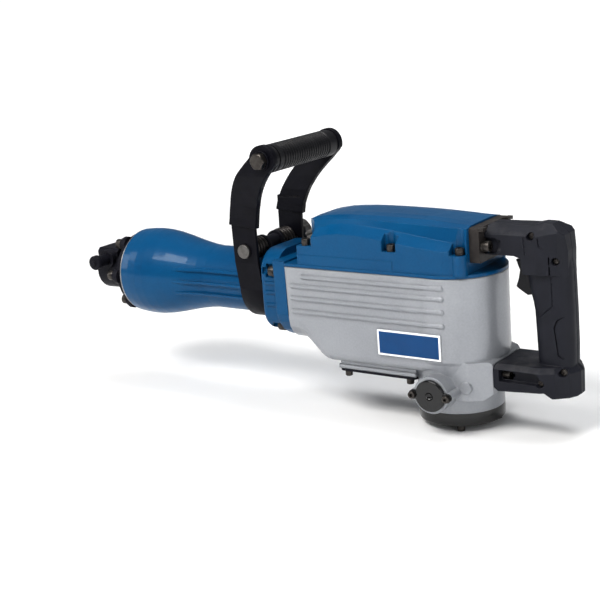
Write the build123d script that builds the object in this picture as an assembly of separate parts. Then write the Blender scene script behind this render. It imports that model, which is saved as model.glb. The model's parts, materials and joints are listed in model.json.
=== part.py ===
from build123d import *
from math import cos, pi, radians, sin, sqrt
import os

os.makedirs("parts", exist_ok=True)

# Electric demolition hammer, in millimetres.
# The origin is the centre of the mouth of the tool socket, on the hammer axis.
# +X runs back along the hammer to the rear handle, +Z is up, and -Y is the left side.

# Stations along the hammer axis
NOSE_FLANGE = (58.0, 67.0)
BARREL_FRONT = 68.5
BARREL_FLANGE = (322.0, 339.0)
CLAMP_X = 276.0
CRANK_X = 448.5
MOTOR_X = 538.0
BRACKET = (575.5, 587.5)

# Tool socket and hammer mechanism
HEX_ACROSS_FLATS = 30.6
SOCKET_DEPTH = 75.0
SHANK_BORE_R = 12.8
MECHANISM_R = 33.0
CYLINDER_BORE_R = 26.5
CRANK_THROW = 13.0
ROD_LENGTH = 100.0
FIT = 0.05

# Barrel and clamp
BARREL_R = 40.0
BELL_R = 56.5
NOSE_BOLT_R = 44.0
STRAP_Y = 50.0
STRAP_THICK = 4.0
CLAMP_Z = 49.0
GRIP_X = 329.2
GRIP_Z = 165.0

# Main casting
PARTING_Z = 35.5
CASE_HALF_WIDTH = 58.0
CASE_BOTTOM_Z = -76.0
MOTOR_R = 59.3
MOTOR_FOOT_R = 50.0
MOTOR_END_Z = -123.0
END_RING_Z = -138.5
BRUSH_Z = -95.0
BRUSH_FACE_Y = 72.4

# Gear train: teeth and module of each pair
PINION_TEETH = 12
WHEEL_TEETH = 48
FIRST_MODULE = 1.25
SMALL_TEETH = 13
CRANK_TEETH = 39
SECOND_MODULE = 2.0
GEAR_X = MOTOR_X - FIRST_MODULE * (PINION_TEETH + WHEEL_TEETH) / 2


# ---------------------------------------------------------------- helpers

def cyl_x(r, x0, x1, y=0.0, z=0.0):
    return Pos((x0 + x1) / 2, y, z) * Rot(0, 90, 0) * Cylinder(r, abs(x1 - x0))


def cyl_y(r, y0, y1, x, z):
    return Pos(x, (y0 + y1) / 2, z) * Rot(90, 0, 0) * Cylinder(r, abs(y1 - y0))


def cyl_z(r, z0, z1, x=0.0, y=0.0):
    return Pos(x, y, (z0 + z1) / 2) * Cylinder(r, abs(z1 - z0))


def block(x0, x1, y0, y1, z0, z1):
    centre = Pos((x0 + x1) / 2, (y0 + y1) / 2, (z0 + z1) / 2)
    return centre * Box(abs(x1 - x0), abs(y1 - y0), abs(z1 - z0))


def turned_x(points, y=0.0, z=0.0):
    """A solid turned about the X axis from (x, radius) points."""
    face = Plane.XZ * make_face(Polyline(*points, close=True))
    return Pos(0, y, z) * revolve(face, Axis.X)


def turned_z(points, x=0.0, y=0.0):
    """A solid turned about the Z axis from (radius, z) points."""
    face = Plane.XZ * make_face(Polyline(*points, close=True))
    return Pos(x, y, 0) * revolve(face, Axis.Z)


def side_profile(points, y0, y1):
    """A closed outline of (x, z) points, extruded from y0 to y1."""
    face = Plane.XZ * make_face(Polyline(*points, close=True))
    return Pos(0, y1, 0) * extrude(face, y1 - y0, dir=(0, -1, 0))


def cross_profile(points, x0, x1):
    """A closed outline of (y, z) points, extruded from x0 to x1."""
    face = Plane.YZ * make_face(Polyline(*points, close=True))
    return Pos(x0, 0, 0) * extrude(face, x1 - x0, dir=(1, 0, 0))


def plan_prism(points, z0, z1):
    """An outline of (x, y) points on the right side, mirrored to the left and extruded from z0 to z1."""
    loop = points + [(x, -y) for x, y in reversed(points)]
    return Pos(0, 0, z0) * extrude(make_face(Polyline(*loop, close=True)), z1 - z0, dir=(0, 0, 1))


def ring_places(radius, count, start=0.0):
    for k in range(count):
        angle = radians(start + 360.0 * k / count)
        yield radius * cos(angle), radius * sin(angle)


def mirror_y(shape):
    return mirror(shape, Plane.XZ)


def both_sides(shape):
    return [shape, mirror_y(shape)]


def group(solids):
    """Separate solids that share one node."""
    flat = []
    for item in solids:
        flat.extend(item.solids())
    return Compound(children=flat)


def socket_screw(thread_r, head_r, head_h, length, washer=0.0):
    """A cap screw pointing down, with the underside of its head at z = 0.
    The spring washer, if any, takes up the first part below the head."""
    head = cyl_z(head_r, 0, head_h)
    head = chamfer(head.edges().group_by(Axis.Z)[-1], head_r * 0.12)
    key = extrude(RegularPolygon(head_r * 0.52, 6), head_h * 0.55)
    head -= Pos(0, 0, head_h * 0.45) * key
    shank = cyl_z(thread_r, -length, 0)
    screw = head + shank
    if washer:
        screw += cyl_z(head_r * 0.96, -washer, -washer * 0.12) - cyl_z(thread_r + 0.1, -washer, 0)
        screw += cyl_z(head_r * 0.8, -washer, 0)
    return screw


def hex_bolt(thread_r, across_flats, head_h, length):
    """A hex bolt pointing down, with the underside of its head at z = 0."""
    head = extrude(RegularPolygon(across_flats / sqrt(3), 6), head_h)
    head = head & turned_z([(0, 0), (across_flats * 0.6, 0), (across_flats * 0.6, head_h * 0.72),
                            (across_flats * 0.47, head_h), (0, head_h)])
    return head + cyl_z(thread_r, -length, 0)


def pan_screw(thread_r, head_r, head_h, length):
    """A domed screw pointing down, with a cross recess and its head's underside at z = 0."""
    head = turned_z([(0, 0), (head_r, 0), (head_r, head_h * 0.45), (head_r * 0.72, head_h * 0.9),
                     (head_r * 0.4, head_h), (0, head_h)])
    slot = block(-head_r * 0.62, head_r * 0.62, -head_r * 0.11, head_r * 0.11, head_h * 0.4, head_h + 1)
    head -= slot
    head -= Rot(0, 0, 90) * slot
    return head + cyl_z(thread_r, -length, 0)


def coil(radius, wire_r, pitch, turns):
    """A round-wire helix that starts at z = 0 on +X."""
    path = Helix(pitch=pitch, height=pitch * turns, radius=radius)
    section = Plane(origin=path @ 0, z_dir=path % 0) * Circle(wire_r)
    return sweep(section, path=path, is_frenet=True)


def spur_outline(teeth, module, tooth_at_zero):
    """A simple straight-flanked gear outline with generous backlash."""
    pitch_r = teeth * module / 2
    root_r = pitch_r - 1.2 * module
    tip_r = pitch_r + 0.9 * module
    step = 2 * pi / teeth
    start = 0.0 if tooth_at_zero else step / 2
    points = []
    for k in range(teeth):
        centre = start + k * step
        for radius, share in ((root_r, -0.3), (tip_r, -0.13), (tip_r, 0.13), (root_r, 0.3)):
            angle = centre + share * step
            points.append((radius * cos(angle), radius * sin(angle)))
    return make_face(Polyline(*points, close=True))


def save(shape, name):
    export_step(shape, f"parts/{name}.step")


# ---------------------------------------------------------------- nose

LOCK_X = 22.0
LOCK_Z = 17.0
LOCK_R = 7.5
NOSE_PAD_X = 50.0


def hex_prism_x(across_flats, x0, x1):
    face = Plane.YZ * RegularPolygon(across_flats / sqrt(3), 6, rotation=0)
    return Pos(x0, 0, 0) * extrude(face, x1 - x0, dir=(1, 0, 0))


def nose_housing():
    body = turned_x([(0, 0), (0, 25.5), (2.5, 28), (40, 28), (46, 31), (52, 37), (58, 38.5), (58, 0)])
    flat_top = block(1, 36, -22, 22, 0, 30)
    flat_top = chamfer(flat_top.edges().filter_by(Axis.X).group_by(Axis.Z)[-1], 4)
    body += flat_top
    body += cyl_x(49.5, *NOSE_FLANGE)
    for y, z in ring_places(NOSE_BOLT_R, 6):
        boss = cyl_x(8.6, NOSE_PAD_X, 60, y, z) + cyl_x(10.5, 54, 60, y, z)
        body += boss
    body += cyl_x(MECHANISM_R - FIT, NOSE_FLANGE[1], SOCKET_DEPTH)
    body += cyl_y(12.5, -30, 24, LOCK_X, LOCK_Z)
    body -= hex_prism_x(HEX_ACROSS_FLATS, -5, SOCKET_DEPTH + 5)
    body -= cyl_y(LOCK_R + FIT, -60, 40, LOCK_X, LOCK_Z)
    body -= cyl_y(10.5, 12, 60, LOCK_X, LOCK_Z)
    for y, z in ring_places(NOSE_BOLT_R, 6):
        body -= cyl_x(4.2, 40, 80, y, z)
    return body


def nose_seal():
    ring = cyl_x(54.0, NOSE_FLANGE[1], BARREL_FRONT)
    ring -= cyl_x(MECHANISM_R + 0.5, 60, 70)
    for y, z in ring_places(NOSE_BOLT_R, 6):
        ring -= cyl_x(4.4, 60, 75, y, z)
    return ring


def lock_bolt():
    """Cross bolt; the flat faces the hex at rest, so the tool's shank is free to leave."""
    bolt = cyl_y(LOCK_R, -45, 22, LOCK_X, LOCK_Z)
    bolt -= block(LOCK_X - 10, LOCK_X + 10, -22, 13, LOCK_Z - 10, HEX_ACROSS_FLATS / 2 + 0.6)
    knob = cyl_y(9.5, -54, -45, LOCK_X, LOCK_Z)
    knob = fillet(knob.edges().filter_by(GeomType.CIRCLE), 2.0)
    bolt += knob
    bolt += cyl_y(3.5, -56.5, -54, LOCK_X, LOCK_Z)
    return bolt


def lock_washer():
    return cyl_y(10.2, 22.05, 23.6, LOCK_X, LOCK_Z)


def lock_spring():
    spring = coil(8.9, 0.9, 2.6, 3)
    return Pos(LOCK_X, 21.1, LOCK_Z) * Rot(90, 0, 0) * spring


# ---------------------------------------------------------------- barrel

BLOCK_FRONT = 297.0
BLOCK_HALF = 51.0
BLOCK_CORNER = 28.0
FLANGE_BOLTS = ((50.5, 27.0), (38.5, -43.5))
FLANGE_BOLT_R = 4.0


def barrel_block():
    """Rounded square body between the clamp band and the rear flange."""
    face = Plane.YZ * RectangleRounded(2 * BLOCK_HALF, 2 * BLOCK_HALF, BLOCK_CORNER)
    body = Pos(BLOCK_FRONT, 0, 0) * extrude(face, BARREL_FLANGE[0] - BLOCK_FRONT, dir=(1, 0, 0))
    return fillet(body.edges().group_by(Axis.X)[0], 3.0)


def flange_outline(top_z, half, grow=0.0):
    """Half-rounded outline shared by the barrel flange and the front of the main casting."""
    low = 56.0 + grow
    return [(-half, top_z), (-half, -24), (-half + 4, -34), (-half + 13, -46), (-36, -52), (-28, -low),
            (28, -low), (36, -52), (half - 13, -46), (half - 4, -34), (half, -24), (half, top_z)]


BLOCK_RIB_Z = (12.0, 0.5, -15.0)
BARREL_RIB_Z = (16.3, 0.3, -15.2)
RIB_HALF = 1.9


def barrel_ribs(side):
    """Three ribs along one side of the barrel, which fade into the bell in front."""
    shell = turned_x([(150, 0), (150, 47.6), (168, 46.4), (182, 44.4), (196, 43.0), (258, 43.0), (258, 0)])
    ribs = [shell & block(150, 258, side * 30, side * 60, z - RIB_HALF, z + RIB_HALF) for z in BARREL_RIB_Z]
    return ribs[0] + ribs[1] + ribs[2]


def barrel_case():
    body = turned_x([(BARREL_FRONT, 0), (BARREL_FRONT, 53.8), (BARREL_FRONT + 1.2, 55), (82, 56.3),
                     (94, BELL_R + 0.3), (106, 56.2), (120, 54.3), (136, 51.0), (152, 47.2), (168, 43.8),
                     (182, 41.4), (196, BARREL_R), (BLOCK_FRONT + 2, BARREL_R), (BLOCK_FRONT + 2, 0)])
    body += barrel_block()
    body += cross_profile(flange_outline(42, CASE_HALF_WIDTH), *BARREL_FLANGE)
    for side in (-1, 1):
        for z in BLOCK_RIB_Z:
            body += block(BLOCK_FRONT + 6, 321, side * 52.6, side * 46, z - RIB_HALF, z + RIB_HALF)
        body += barrel_ribs(side)
    for y, z in FLANGE_BOLTS:
        for side in (-1, 1):
            body -= cyl_x(8.2, BLOCK_FRONT + 8, BARREL_FLANGE[0], side * y, z)
            body -= cyl_x(FLANGE_BOLT_R + 0.2, 300, 345, side * y, z)
    body -= cyl_x(MECHANISM_R + FIT, 60, 345)
    for y, z in ring_places(NOSE_BOLT_R, 6):
        body -= cyl_x(4.2, 60, 98, y, z)
    return body


def barrel_bolts():
    """Six cap screws through the nose flange and four through the rear flange."""
    nose = Rot(0, -90, 0) * socket_screw(4.0, 6.5, 8.0, 46.0, washer=2.2)
    rear = Rot(0, -90, 0) * socket_screw(FLANGE_BOLT_R, 6.5, 8.0, 40.0, washer=2.2)
    screws = [Pos(NOSE_PAD_X - 2.2, y, z) * nose for y, z in ring_places(NOSE_BOLT_R, 6)]
    for y, z in FLANGE_BOLTS:
        screws.append(Pos(BARREL_FLANGE[0] - 2.2, y, z) * rear)
        screws.append(Pos(BARREL_FLANGE[0] - 2.2, -y, z) * rear)
    return group(screws)


# ---------------------------------------------------------------- impact mechanism

BUSH = (SOCKET_DEPTH + 0.2, 121.5)
DAMPER = (121.6, 130.0)
IMPACT_BUSH = (130.0, 180.0)
CYLINDER = (180.1, 400.0)
WRIST_X = CRANK_X + CRANK_THROW - ROD_LENGTH
CROWN_X = WRIST_X - 44.0


def shank_bush():
    return cyl_x(MECHANISM_R, *BUSH) - cyl_x(SHANK_BORE_R, 70, 125)


def guide_bushes():
    return group([shank_bush(), impact_bush()])


def damper_ring():
    return cyl_x(MECHANISM_R, *DAMPER) - cyl_x(19.0, 118, 134)


def impact_bush():
    bush = cyl_x(MECHANISM_R, *IMPACT_BUSH) - cyl_x(12.05, 125, 185)
    bush -= cyl_x(17.05, 135.5, 164)
    return bush


def impact_bolt():
    """Steel hammer bolt; its collar stops it at both ends of its short travel."""
    return turned_x([(124, 0), (124, 10.8), (125.2, 12), (150, 12), (150, 15.6), (151.4, 17), (160, 17),
                     (160, 12), (198.8, 12), (200, 10.8), (200, 0)])


def guide_cylinder():
    tube = cyl_x(MECHANISM_R, *CYLINDER) - cyl_x(CYLINDER_BORE_R, 170, 410)
    for x in (190.0, 330.0, 352.0):
        tube -= cyl_x(MECHANISM_R + 1, x, x + 3.2) - cyl_x(MECHANISM_R - 2.2, x - 1, x + 5)
    return tube


def cylinder_seals():
    rings = []
    for x in (190.0, 330.0, 352.0):
        rings.append(cyl_x(MECHANISM_R, x + 0.1, x + 3.1) - cyl_x(MECHANISM_R - 2.1, x - 1, x + 4))
    return group(rings)


STRIKER_BACK = 266.0
STRIKER_RING_X = 244.0


def striker():
    body = turned_x([(201, 0), (201, 10), (203, 12), (214, 12), (215, 24), (217, CYLINDER_BORE_R - FIT),
                     (STRIKER_BACK - 1, CYLINDER_BORE_R - FIT), (STRIKER_BACK, 25.4), (STRIKER_BACK, 0)])
    groove = cyl_x(30, STRIKER_RING_X, STRIKER_RING_X + 2.4)
    return body - (groove - cyl_x(24.2, STRIKER_RING_X - 2, STRIKER_RING_X + 4))


def striker_with_ring():
    return group([striker(), striker_ring()])


def striker_ring():
    ring = cyl_x(CYLINDER_BORE_R - FIT, STRIKER_RING_X + 0.1, STRIKER_RING_X + 2.3)
    return ring - cyl_x(24.3, STRIKER_RING_X - 2, STRIKER_RING_X + 4)


def piston():
    """Hollow cup; its wrist-pin bores are open to the pin that the rod carries."""
    body = turned_x([(CROWN_X, 0), (CROWN_X, 25.4), (CROWN_X + 1, CYLINDER_BORE_R - FIT),
                     (380, CYLINDER_BORE_R - FIT), (380, 23.2), (CROWN_X + 8, 23.2), (CROWN_X + 8, 0)])
    body -= cyl_z(6.1, -40, 40, WRIST_X)
    body -= cyl_x(30, CROWN_X + 3, CROWN_X + 5.4) - cyl_x(24.2, CROWN_X, CROWN_X + 8)
    return body


def piston_ring():
    ring = cyl_x(CYLINDER_BORE_R - FIT, CROWN_X + 3.1, CROWN_X + 5.3)
    return ring - cyl_x(24.3, CROWN_X, CROWN_X + 8)


def piston_with_ring():
    return group([piston(), piston_ring()])


def connecting_rod():
    pin_x = CRANK_X + CRANK_THROW
    rod = block(WRIST_X, pin_x, -6, 6, -5.5, 5.5)
    rod += cyl_z(8.5, -8.4, 8.4, WRIST_X)
    rod += cyl_z(18.0, -9, 9, pin_x)
    rod -= cyl_z(6.0 + FIT, -12, 12, WRIST_X)
    rod -= cyl_z(13.5, -12, 12, pin_x)
    return rod


def rod_bearing():
    pin_x = CRANK_X + CRANK_THROW
    return cyl_z(13.5, -8.5, 8.5, pin_x) - cyl_z(10.0 + FIT, -12, 12, pin_x)


def wrist_pin():
    return cyl_z(6.0, -13, 13, WRIST_X)


# ---------------------------------------------------------------- gear train and crank

CRANK_GEAR_Z = (48.0, 57.0)
WHEEL_Z = (37.0, 45.0)


def crankshaft():
    shaft = cyl_z(12.5, 20.5, 69, CRANK_X)
    web = cyl_z(27.0, 11.0, 20.5, CRANK_X)
    web = chamfer(web.edges().filter_by(GeomType.CIRCLE), 1.0)
    pin = cyl_z(10.0, -12, 11.0, CRANK_X + CRANK_THROW)
    pin = chamfer(pin.edges().group_by(Axis.Z)[0], 1.0)
    return shaft + web + pin


def crank_gear():
    gear = Pos(CRANK_X, 0, CRANK_GEAR_Z[0]) * extrude(
        spur_outline(CRANK_TEETH, SECOND_MODULE, True), CRANK_GEAR_Z[1] - CRANK_GEAR_Z[0])
    gear -= cyl_z(12.5, 40, 60, CRANK_X)
    for x, y in ring_places(26.0, 6):
        gear -= cyl_z(5.0, 40, 60, CRANK_X + x, y)
    return gear


def intermediate_shaft():
    wheel = Pos(GEAR_X, 0, WHEEL_Z[0]) * extrude(
        spur_outline(WHEEL_TEETH, FIRST_MODULE, True), WHEEL_Z[1] - WHEEL_Z[0])
    pinion = Pos(GEAR_X, 0, WHEEL_Z[1]) * extrude(
        Rot(0, 0, 180) * spur_outline(SMALL_TEETH, SECOND_MODULE, False), 14)
    return wheel + pinion + cyl_z(6.0, 21.4, 68.8, GEAR_X)


def bearing(x, inner, outer, z0, z1):
    """One ball bearing as a ring with its races shown as grooves."""
    ring = cyl_z(outer, z0, z1, x) - cyl_z(inner, z0 - 1, z1 + 1, x)
    mid = (inner + outer) / 2
    groove = cyl_z(mid + 1.5, z1 - 0.8, z1 + 1, x) - cyl_z(mid - 1.5, z1 - 2, z1 + 2, x)
    return ring - groove


# ---------------------------------------------------------------- motor

BEARING_PLATE_Z = (20.0, 28.0)


def armature_shaft():
    shaft = cyl_z(8.5, -123, 30, MOTOR_X) + cyl_z(6.0, -132.8, -123, MOTOR_X)
    teeth = extrude(Rot(0, 0, 180) * spur_outline(PINION_TEETH, FIRST_MODULE, False), 14)
    return shaft + Pos(MOTOR_X, 0, 34) * teeth + cyl_z(6.0, 30, 34, MOTOR_X)


def armature_core():
    """Laminated core with skewless winding slots."""
    core = cyl_z(27.0, -70, -10, MOTOR_X) + cyl_z(20.0, -80, -2, MOTOR_X)
    for x, y in ring_places(26.0, 12):
        core -= cyl_z(2.2, -71, -9, MOTOR_X + x, y)
    return core - cyl_z(8.5, -100, 20, MOTOR_X)


def commutator():
    ring = cyl_z(17.0, -110, -84, MOTOR_X) - cyl_z(8.5, -120, -80, MOTOR_X)
    for x, y in ring_places(17.0, 24):
        ring -= cyl_z(0.5, -112, -82, MOTOR_X + x, y)
    return ring


def fan():
    disc = cyl_z(44.0, 2.5, 5.0, MOTOR_X) + cyl_z(14.0, -1.5, 16.0, MOTOR_X)
    for k in range(12):
        blade = Rot(0, 0, 30 * k) * Pos(28, 0, 9.5) * Rot(0, 0, 20) * Box(24, 2.0, 10)
        disc += Pos(MOTOR_X, 0, 0) * blade
    return disc - cyl_z(8.5, -10, 20, MOTOR_X)


def stator_core():
    core = cyl_z(46.0, -72, -8, MOTOR_X)
    for angle in (45, 135, 225, 315):
        core += Pos(MOTOR_X, 0, -40) * Rot(0, 0, angle) * Pos(45, 0, 0) * Box(6.7, 12, 64)
    core -= cyl_z(28.0, -80, 0, MOTOR_X)
    core -= block(MOTOR_X - 38, MOTOR_X + 38, -22, 22, -80, 0) - cyl_z(28.0, -90, 10, MOTOR_X)
    return core & cyl_z(48.4, -72, -8, MOTOR_X)


def field_coils():
    coils = []
    for side in (-1, 1):
        coil_body = block(MOTOR_X + side * 30, MOTOR_X + side * 37.5, -21, 21, -79, -1)
        coil_body = fillet(coil_body.edges(), 2.5)
        coils.append(coil_body)
    return group(coils)


def ball_bearings():
    return group([
        bearing(CRANK_X, 12.5 + FIT, 26.0, 21.5, 34.5),
        bearing(CRANK_X, 12.5 + FIT, 21.0, 60.0, 69.0),
        bearing(GEAR_X, 6.0 + FIT, 11.0, 21.2, 28.0),
        bearing(GEAR_X, 6.0 + FIT, 13.0, 61.0, 69.0),
        bearing(MOTOR_X, 8.5 + FIT, 17.5, 17.0, 27.5),
        bearing(MOTOR_X, 6.0 + FIT, 13.0, -133.0, -124.5),
    ])


def bearing_plate():
    plate = cyl_z(50.0, *BEARING_PLATE_Z, MOTOR_X) + cyl_z(22.0, 17.0, 22.0, MOTOR_X)
    plate -= cyl_z(17.5 + 0.01, 16.0, 27.5, MOTOR_X)
    plate -= cyl_z(10.0, 10, 40, MOTOR_X)
    plate -= cyl_z(11.01, 21.2, 40, GEAR_X)
    for x, y in ring_places(36.0, 2, 90.0):
        plate -= cyl_z(8.0, 10, 40, MOTOR_X + x, y)
    return plate


def brush_holders():
    holders = []
    for side in (-1, 1):
        tube = cyl_y(10.0, side * 19, side * 64, MOTOR_X, BRUSH_Z)
        tube -= block(MOTOR_X - 4.6, MOTOR_X + 4.6, side * 15, side * 70, BRUSH_Z - 6.6, BRUSH_Z + 6.6)
        holders.append(tube)
    return group(holders)


def carbon_brushes():
    return group([block(MOTOR_X - 4.4, MOTOR_X + 4.4, side * 17.2, side * 40.0, BRUSH_Z - 6.4, BRUSH_Z + 6.4)
                  for side in (-1, 1)])


def brush_springs():
    spring = coil(3.2, 0.6, 3.4, 6)
    left = Pos(MOTOR_X, -41.0, BRUSH_Z) * Rot(90, 0, 0) * spring
    return group([left, mirror_y(left)])


BRUSH_CAP_Y = (65.0, 76.5)
BRUSH_CAP_R = 18.4
EAR_X = 21.5


def brush_cap():
    cap = cyl_y(BRUSH_CAP_R, -BRUSH_CAP_Y[1], -BRUSH_FACE_Y - FIT, MOTOR_X, BRUSH_Z)
    cap = fillet(cap.edges().group_by(Axis.Y)[0], 1.6)
    cap += cyl_y(13.0, -BRUSH_FACE_Y - FIT, -BRUSH_CAP_Y[0], MOTOR_X, BRUSH_Z)
    for side in (-1, 1):
        ear = cyl_y(5.2, -75.4, -72.45, MOTOR_X + side * EAR_X, BRUSH_Z)
        ear += block(MOTOR_X + side * 12, MOTOR_X + side * EAR_X, -75.4, -72.45, BRUSH_Z - 5.2, BRUSH_Z + 5.2)
        cap += ear
        cap -= cyl_y(2.2, -80, -60, MOTOR_X + side * EAR_X, BRUSH_Z)
        cap -= cyl_y(4.5, -80, -75.4, MOTOR_X + side * EAR_X, BRUSH_Z)
    dimple = Pos(MOTOR_X, -BRUSH_CAP_Y[1] - 2.5, BRUSH_Z) * Sphere(5.5)
    return cap - dimple


def brush_caps():
    return group(both_sides(brush_cap()))


def brush_cap_screws():
    screw = Rot(90, 0, 0) * socket_screw(2.1, 4.3, 4.4, 14.0)
    left = [Pos(MOTOR_X + side * EAR_X, -75.4, BRUSH_Z) * screw for side in (-1, 1)]
    return group(left + [mirror_y(s) for s in left])


def end_ring():
    """Glossy end cap under the motor; it seats the lower motor bearing."""
    cap = cyl_z(MOTOR_FOOT_R, END_RING_Z, MOTOR_END_Z - 0.05, MOTOR_X)
    cap = fillet(cap.edges().group_by(Axis.Z)[0], 2.0)
    cap -= cyl_z(13.01, -133.0, -120, MOTOR_X)
    cap -= cyl_z(32.0, END_RING_Z - 1, END_RING_Z + 3.5, MOTOR_X) - cyl_z(18.0, -145, -130, MOTOR_X)
    for x, y in ring_places(41.0, 4, 25.0):
        cap -= cyl_z(2.7, -145, -120, MOTOR_X + x, y)
    return cap


# ---------------------------------------------------------------- main casting

CASE_FRONT = BARREL_FLANGE[1]
CRANK_CAVITY_X = (400.0, 482.0)
# x and y of the cover bolts on the right side
COVER_BOLTS = ((367.5, 50.5), (484.0, 50.5), (568.0, 46.0))
CASE_WALL_Y = 57.0
CASE_SWELL_X = (350.0, 394.0)
CASE_FRONT_BOTTOM = -55.5
RIB_R = 2.9
RIB_Y = 58.1
RIB_Z = (25.5, 13.5, -1.5, -17.5)
RIB_START_X = (364.0, 348.0, 347.0, 348.0)
RIB_END_X = 549.0
NAME_X = (464.5, 547.0)
NAME_Z = (-58.5, -27.5)
NAME_PAD_Y = 59.5
PAD_X = (401.6, 506.0)
PAD_Y = 48.5
PLATE_RELIEF_R = 53.0
PAD_Z = (-85.0, -74.0)
PLATE_BOTTOM_Z = PAD_Z[0] - 3.4
PLATE_SCREWS = [(x, side * 44.0) for x in (412.0, 496.0) for side in (-1, 1)]
FOOT_BOLT_Y = 24.0
FOOT_BOLT_Z = -75.0
FOOT_FACE_X = 597.0


def case_bottom(x):
    """Height of the underside, which swells down from the barrel flange to the crank chamber."""
    t = min(max((x - CASE_SWELL_X[0]) / (CASE_SWELL_X[1] - CASE_SWELL_X[0]), 0.0), 1.0)
    return CASE_FRONT_BOTTOM + (CASE_BOTTOM_Z - CASE_FRONT_BOTTOM) * t * t * (3 - 2 * t)


def case_section(x):
    """Cross-section of the crank case at x, with bottom corners that grow sharper towards the rear."""
    bottom = case_bottom(x)
    t = (bottom - CASE_FRONT_BOTTOM) / (CASE_BOTTOM_Z - CASE_FRONT_BOTTOM)
    corner = 27.0 - 17.0 * t
    right = [(CASE_HALF_WIDTH, PARTING_Z), (CASE_WALL_Y, bottom + corner)]
    for angle in (22.5, 45.0, 67.5, 90.0):
        a = radians(angle)
        right.append((CASE_WALL_Y - corner * (1 - cos(a)), bottom + corner * (1 - sin(a))))
    loop = right + [(-y, z) for y, z in reversed(right)]
    return Plane.YZ.offset(x) * make_face(Polyline(*loop, close=True))


def crank_case():
    swell_end = CASE_SWELL_X[1]
    stations = [CASE_FRONT, 352, 358, 364, 370, 376, 382, 388, swell_end]
    body = loft([case_section(x) for x in stations], ruled=True)
    body += extrude(case_section(swell_end), MOTOR_X - swell_end, dir=(1, 0, 0))
    for side in (-1, 1):
        for z, x0 in zip(RIB_Z, RIB_START_X):
            y = side * RIB_Y
            body += cyl_x(RIB_R, x0, RIB_END_X, y, z)
            body += Pos(RIB_END_X, y, z) * Sphere(RIB_R)
            body += Pos(x0, y, z) * Sphere(RIB_R)
        body += block(*NAME_X, 0, side * NAME_PAD_Y, *NAME_Z)
    return body


def motor_shell():
    return turned_z([(0, PARTING_Z), (MOTOR_R, PARTING_Z), (MOTOR_R, -60), (57.6, -64), (55.5, -74),
                     (51.5, -88), (50, -97), (MOTOR_FOOT_R, MOTOR_END_Z), (0, MOTOR_END_Z)], MOTOR_X)


def foot_pad():
    """Flat-faced pad on the back of the motor housing for the rear handle's foot."""
    plan = [(MOTOR_X, -54), (574, -50), (FOOT_FACE_X, -35), (FOOT_FACE_X, 35), (574, 50), (MOTOR_X, 54)]
    pad = Pos(0, 0, -105) * extrude(make_face(Polyline(*plan, close=True)), 45)
    slope = side_profile([(MOTOR_X, -106), (586, -106), (FOOT_FACE_X, -98), (FOOT_FACE_X, -63),
                          (FOOT_FACE_X - 5, -59), (MOTOR_X, -59)], -70, 70)
    return pad & slope


def brush_boss(side):
    boss = cyl_y(21.5, 0, side * BRUSH_FACE_Y, MOTOR_X, BRUSH_Z)
    for end in (-1, 1):
        x = MOTOR_X + end * EAR_X
        boss += cyl_y(5.6, side * 40, side * BRUSH_FACE_Y, x, BRUSH_Z)
    lug = cyl_y(7.0, side * 20, side * 52, MOTOR_X + 33, BRUSH_Z + 6)
    return boss + lug


def main_casting():
    body = crank_case() + motor_shell() + foot_pad()
    body += block(PAD_X[0] + 2, PAD_X[1], -PAD_Y + 1.2, PAD_Y - 1.2, -82, -74)
    body += block(*PAD_X, -PAD_Y, PAD_Y, PAD_Z[0], -80.5)
    for side in (-1, 1):
        body += brush_boss(side)
    # Crank chamber, open at the bottom, and the barrel mechanism's seat in front of it
    body -= block(*CRANK_CAVITY_X, -40, 40, -100, 21)
    body -= cyl_x(MECHANISM_R + FIT, CASE_FRONT - 5, CRANK_CAVITY_X[0] + 5)
    body -= cyl_z(26.01, 15, 50, CRANK_X)
    # Motor chamber with a shoulder for the bearing plate
    body -= cyl_z(48.5, -85, 40, MOTOR_X)
    body -= cyl_z(40.0, MOTOR_END_Z - 1, -84, MOTOR_X)
    body -= cyl_z(50.0 + FIT, BEARING_PLATE_Z[0], 40, MOTOR_X)
    # Brush ports and threaded holes
    body -= cyl_y(13.05, -80, 80, MOTOR_X, BRUSH_Z)
    for side in (-1, 1):
        for end in (-1, 1):
            x = MOTOR_X + end * EAR_X
            body -= cyl_y(2.2, side * 60, side * 80, x, BRUSH_Z)
    for x, y in cover_bolt_places():
        body -= cyl_z(3.2, 12, 40, x, y)
    for y, z in FLANGE_BOLTS:
        for side in (-1, 1):
            body -= cyl_x(FLANGE_BOLT_R + 0.1, CASE_FRONT - 1, 364, side * y, z)
    for x, y in PLATE_SCREWS:
        body -= cyl_z(2.6, -100, -70, x, y)
    for x, y in ring_places(41.0, 4, 25.0):
        body -= cyl_z(2.6, -130, -108, MOTOR_X + x, y)
    for side in (-1, 1):
        body -= cyl_x(3.2, 578, 600, side * FOOT_BOLT_Y, FOOT_BOLT_Z)
    return body


def bottom_gasket():
    ring = block(PAD_X[0] + 1, PAD_X[1] - 1, -PAD_Y + 1, PAD_Y - 1, PAD_Z[0] - 0.9, PAD_Z[0] - 0.05)
    ring -= block(*CRANK_CAVITY_X, -40, 40, -90, -80)
    ring -= cyl_z(PLATE_RELIEF_R, -100, -80, MOTOR_X)
    for x, y in PLATE_SCREWS:
        ring -= cyl_z(2.8, -100, -80, x, y)
    return ring


def bottom_plate():
    plate = block(*PAD_X, -PAD_Y, PAD_Y, PLATE_BOTTOM_Z, PAD_Z[0] - 0.95)
    plate = fillet(plate.edges().filter_by(Axis.Z), 6.0)
    plate -= cyl_z(PLATE_RELIEF_R, -100, -80, MOTOR_X)
    for x, y in PLATE_SCREWS:
        plate -= cyl_z(2.8, -100, -80, x, y)
    return plate


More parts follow.
